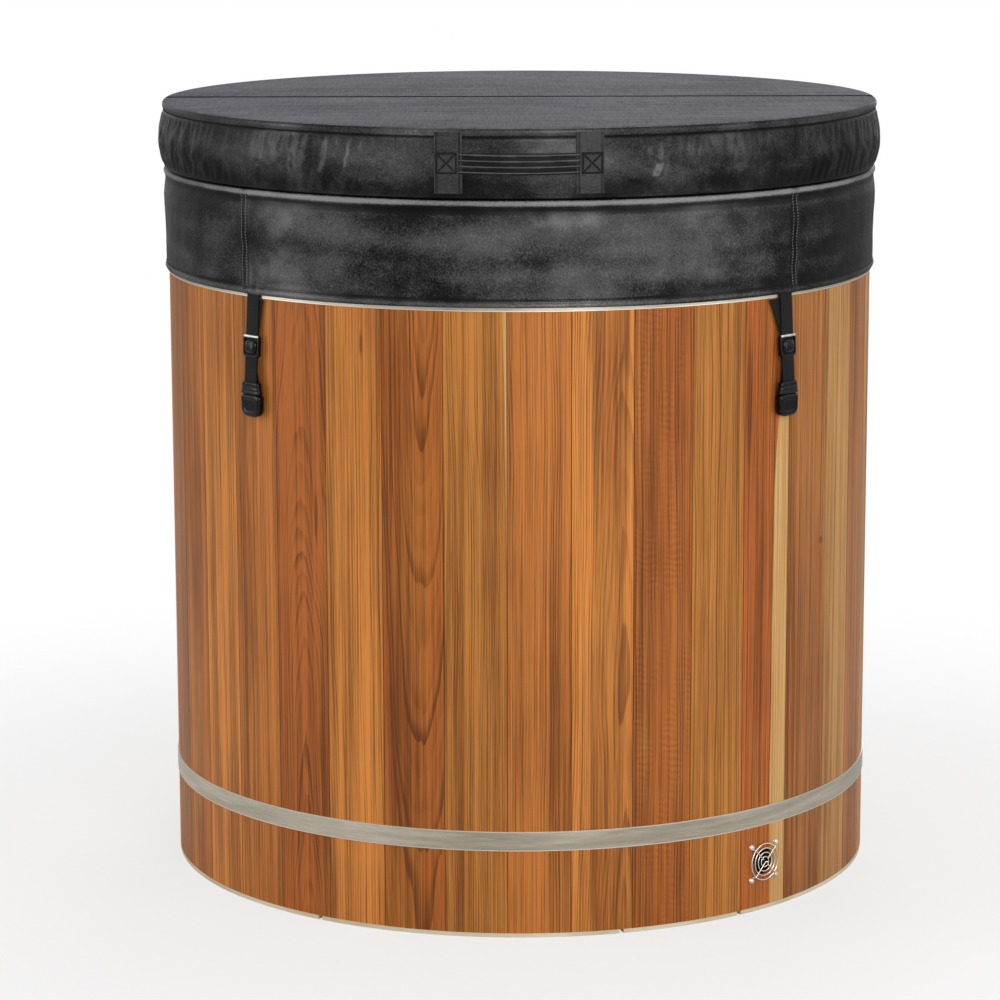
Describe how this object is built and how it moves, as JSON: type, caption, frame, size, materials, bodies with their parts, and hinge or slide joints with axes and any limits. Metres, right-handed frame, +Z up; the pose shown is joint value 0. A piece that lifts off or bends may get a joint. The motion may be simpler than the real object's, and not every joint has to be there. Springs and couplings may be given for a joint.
{
  "type": "cold plunge tub",
  "caption": "Round cedar-stave cold plunge tub with steel hoops, floor drain, vent fan and a folding insulated cover with skirt, handles and buckled straps.",
  "frame": {"origin": "centre of the underside of the base plate", "axes": "+Z up; -Y towards the front handle; the drain leaves along +Y; +X to the right of the front"},
  "size_m": [1.0794, 1.1789, 1.16],
  "materials": {
    "cedar": "oiled, satin",
    "base_plastic": "cream, matt",
    "hoop_steel": "finely brushed",
    "fastener_steel": "bright",
    "guard_wire": "chrome plated",
    "fan_plastic": "black, matt",
    "drain_plastic": "white, satin",
    "valve_brass": "cast, satin",
    "cover_vinyl": "leather-grained vinyl",
    "skirt_vinyl": "leather-grained vinyl",
    "cover_foam": "bead foam",
    "channel_steel": "galvanised",
    "handle_webbing": "ribbed webbing",
    "strap_webbing": "twill webbing",
    "buckle_plastic": "black, satin"
  },
  "bodies": {
    "tub": {"base_plate": "base_plastic", "stave_vent": "cedar", "stave_drain": "cedar", "staves_a": "cedar", "staves_b": "cedar", "staves_c": "cedar", "staves_d": "cedar", "staves_e": "cedar", "staves_f": "cedar", "staves_g": "cedar", "floor_boards": "cedar", "floor_joists": "cedar", "hoop_lower": "hoop_steel", "hoop_upper": "hoop_steel", "hoop_bolts": "fastener_steel", "fan_guard": "guard_wire", "fan_fasteners": "fastener_steel", "fan_frame": "fan_plastic", "drain_flange": "drain_plastic", "drain_strainer": "fastener_steel", "drain_nut": "drain_plastic", "drain_pipe": "drain_plastic", "valve_body": "valve_brass"},
    "fan_rotor": {"fan_rotor": "fan_plastic"},
    "drain_valve": {"valve_plug": "valve_brass", "valve_lever": "fastener_steel"},
    "cover": {"rear_core": "cover_foam", "rear_channel": "channel_steel", "rear_skin": "cover_vinyl", "rear_skirt": "skirt_vinyl", "rear_handle": "handle_webbing", "rear_handle_patches": "cover_vinyl", "rear_left_strap": "strap_webbing", "rear_right_strap": "strap_webbing", "rear_left_plug": "buckle_plastic", "rear_right_plug": "buckle_plastic", "rear_prongs": "buckle_plastic", "hinge_strip": "cover_vinyl"},
    "front_half": {"front_core": "cover_foam", "front_channel": "channel_steel", "front_skin": "cover_vinyl", "front_skirt": "skirt_vinyl", "front_handle": "handle_webbing", "front_handle_patches": "cover_vinyl", "front_left_strap": "strap_webbing", "front_right_strap": "strap_webbing", "front_left_plug": "buckle_plastic", "front_right_plug": "buckle_plastic", "front_prongs": "buckle_plastic"},
    "front_left_slider": {"front_left_slider": "buckle_plastic"},
    "front_left_catch": {"front_left_catch": "buckle_plastic"},
    "front_right_slider": {"front_right_slider": "buckle_plastic"},
    "front_right_catch": {"front_right_catch": "buckle_plastic"},
    "rear_right_slider": {"rear_right_slider": "buckle_plastic"},
    "rear_right_catch": {"rear_right_catch": "buckle_plastic"},
    "rear_left_slider": {"rear_left_slider": "buckle_plastic"},
    "rear_left_catch": {"rear_left_catch": "buckle_plastic"}
  },
  "joints": [
    {"name": "fan_spin", "type": "hinge", "parent": "tub", "child": "fan_rotor", "pos_m": [0.3271, -0.36483, 0.073], "axis": [0.6676, -0.7446, 0], "continuous": true},
    {"name": "valve_turn", "type": "hinge", "parent": "tub", "child": "drain_valve", "pos_m": [0, 0.5774, 0.066], "axis": [0, 0, -1], "range_deg": [0, 90]},
    {"name": "cover_lift", "type": "slide", "parent": "tub", "child": "cover", "axis": [0, 0, 1], "range_m": [0, 0.36]},
    {"name": "front_fold", "type": "hinge", "parent": "cover", "child": "front_half", "pos_m": [0, 0, 1.161], "axis": [-1, 0, 0], "range_deg": [0, 180], "deforming": ["hinge_strip"]},
    {"name": "front_left_slider_slide", "type": "slide", "parent": "front_half", "child": "front_left_slider", "axis": [0.0421, 0.0421, 0.9982], "range_m": [-0.015, 0.025]},
    {"name": "front_left_catch_release", "type": "slide", "parent": "front_half", "child": "front_left_catch", "axis": [0, 0, -1], "range_m": [0, 0.03], "deforming": ["front_prongs"]},
    {"name": "front_right_slider_slide", "type": "slide", "parent": "front_half", "child": "front_right_slider", "axis": [-0.0421, 0.0421, 0.9982], "range_m": [-0.015, 0.025]},
    {"name": "front_right_catch_release", "type": "slide", "parent": "front_half", "child": "front_right_catch", "axis": [0, 0, -1], "range_m": [0, 0.03], "deforming": ["front_prongs"]},
    {"name": "rear_right_slider_slide", "type": "slide", "parent": "cover", "child": "rear_right_slider", "axis": [-0.0421, -0.0421, 0.9982], "range_m": [-0.015, 0.025]},
    {"name": "rear_right_catch_release", "type": "slide", "parent": "cover", "child": "rear_right_catch", "axis": [0, 0, -1], "range_m": [0, 0.03], "deforming": ["rear_prongs"]},
    {"name": "rear_left_slider_slide", "type": "slide", "parent": "cover", "child": "rear_left_slider", "axis": [0.0421, -0.0421, 0.9982], "range_m": [-0.015, 0.025]},
    {"name": "rear_left_catch_release", "type": "slide", "parent": "cover", "child": "rear_left_catch", "axis": [0, 0, -1], "range_m": [0, 0.03], "deforming": ["rear_prongs"]}
  ]
}
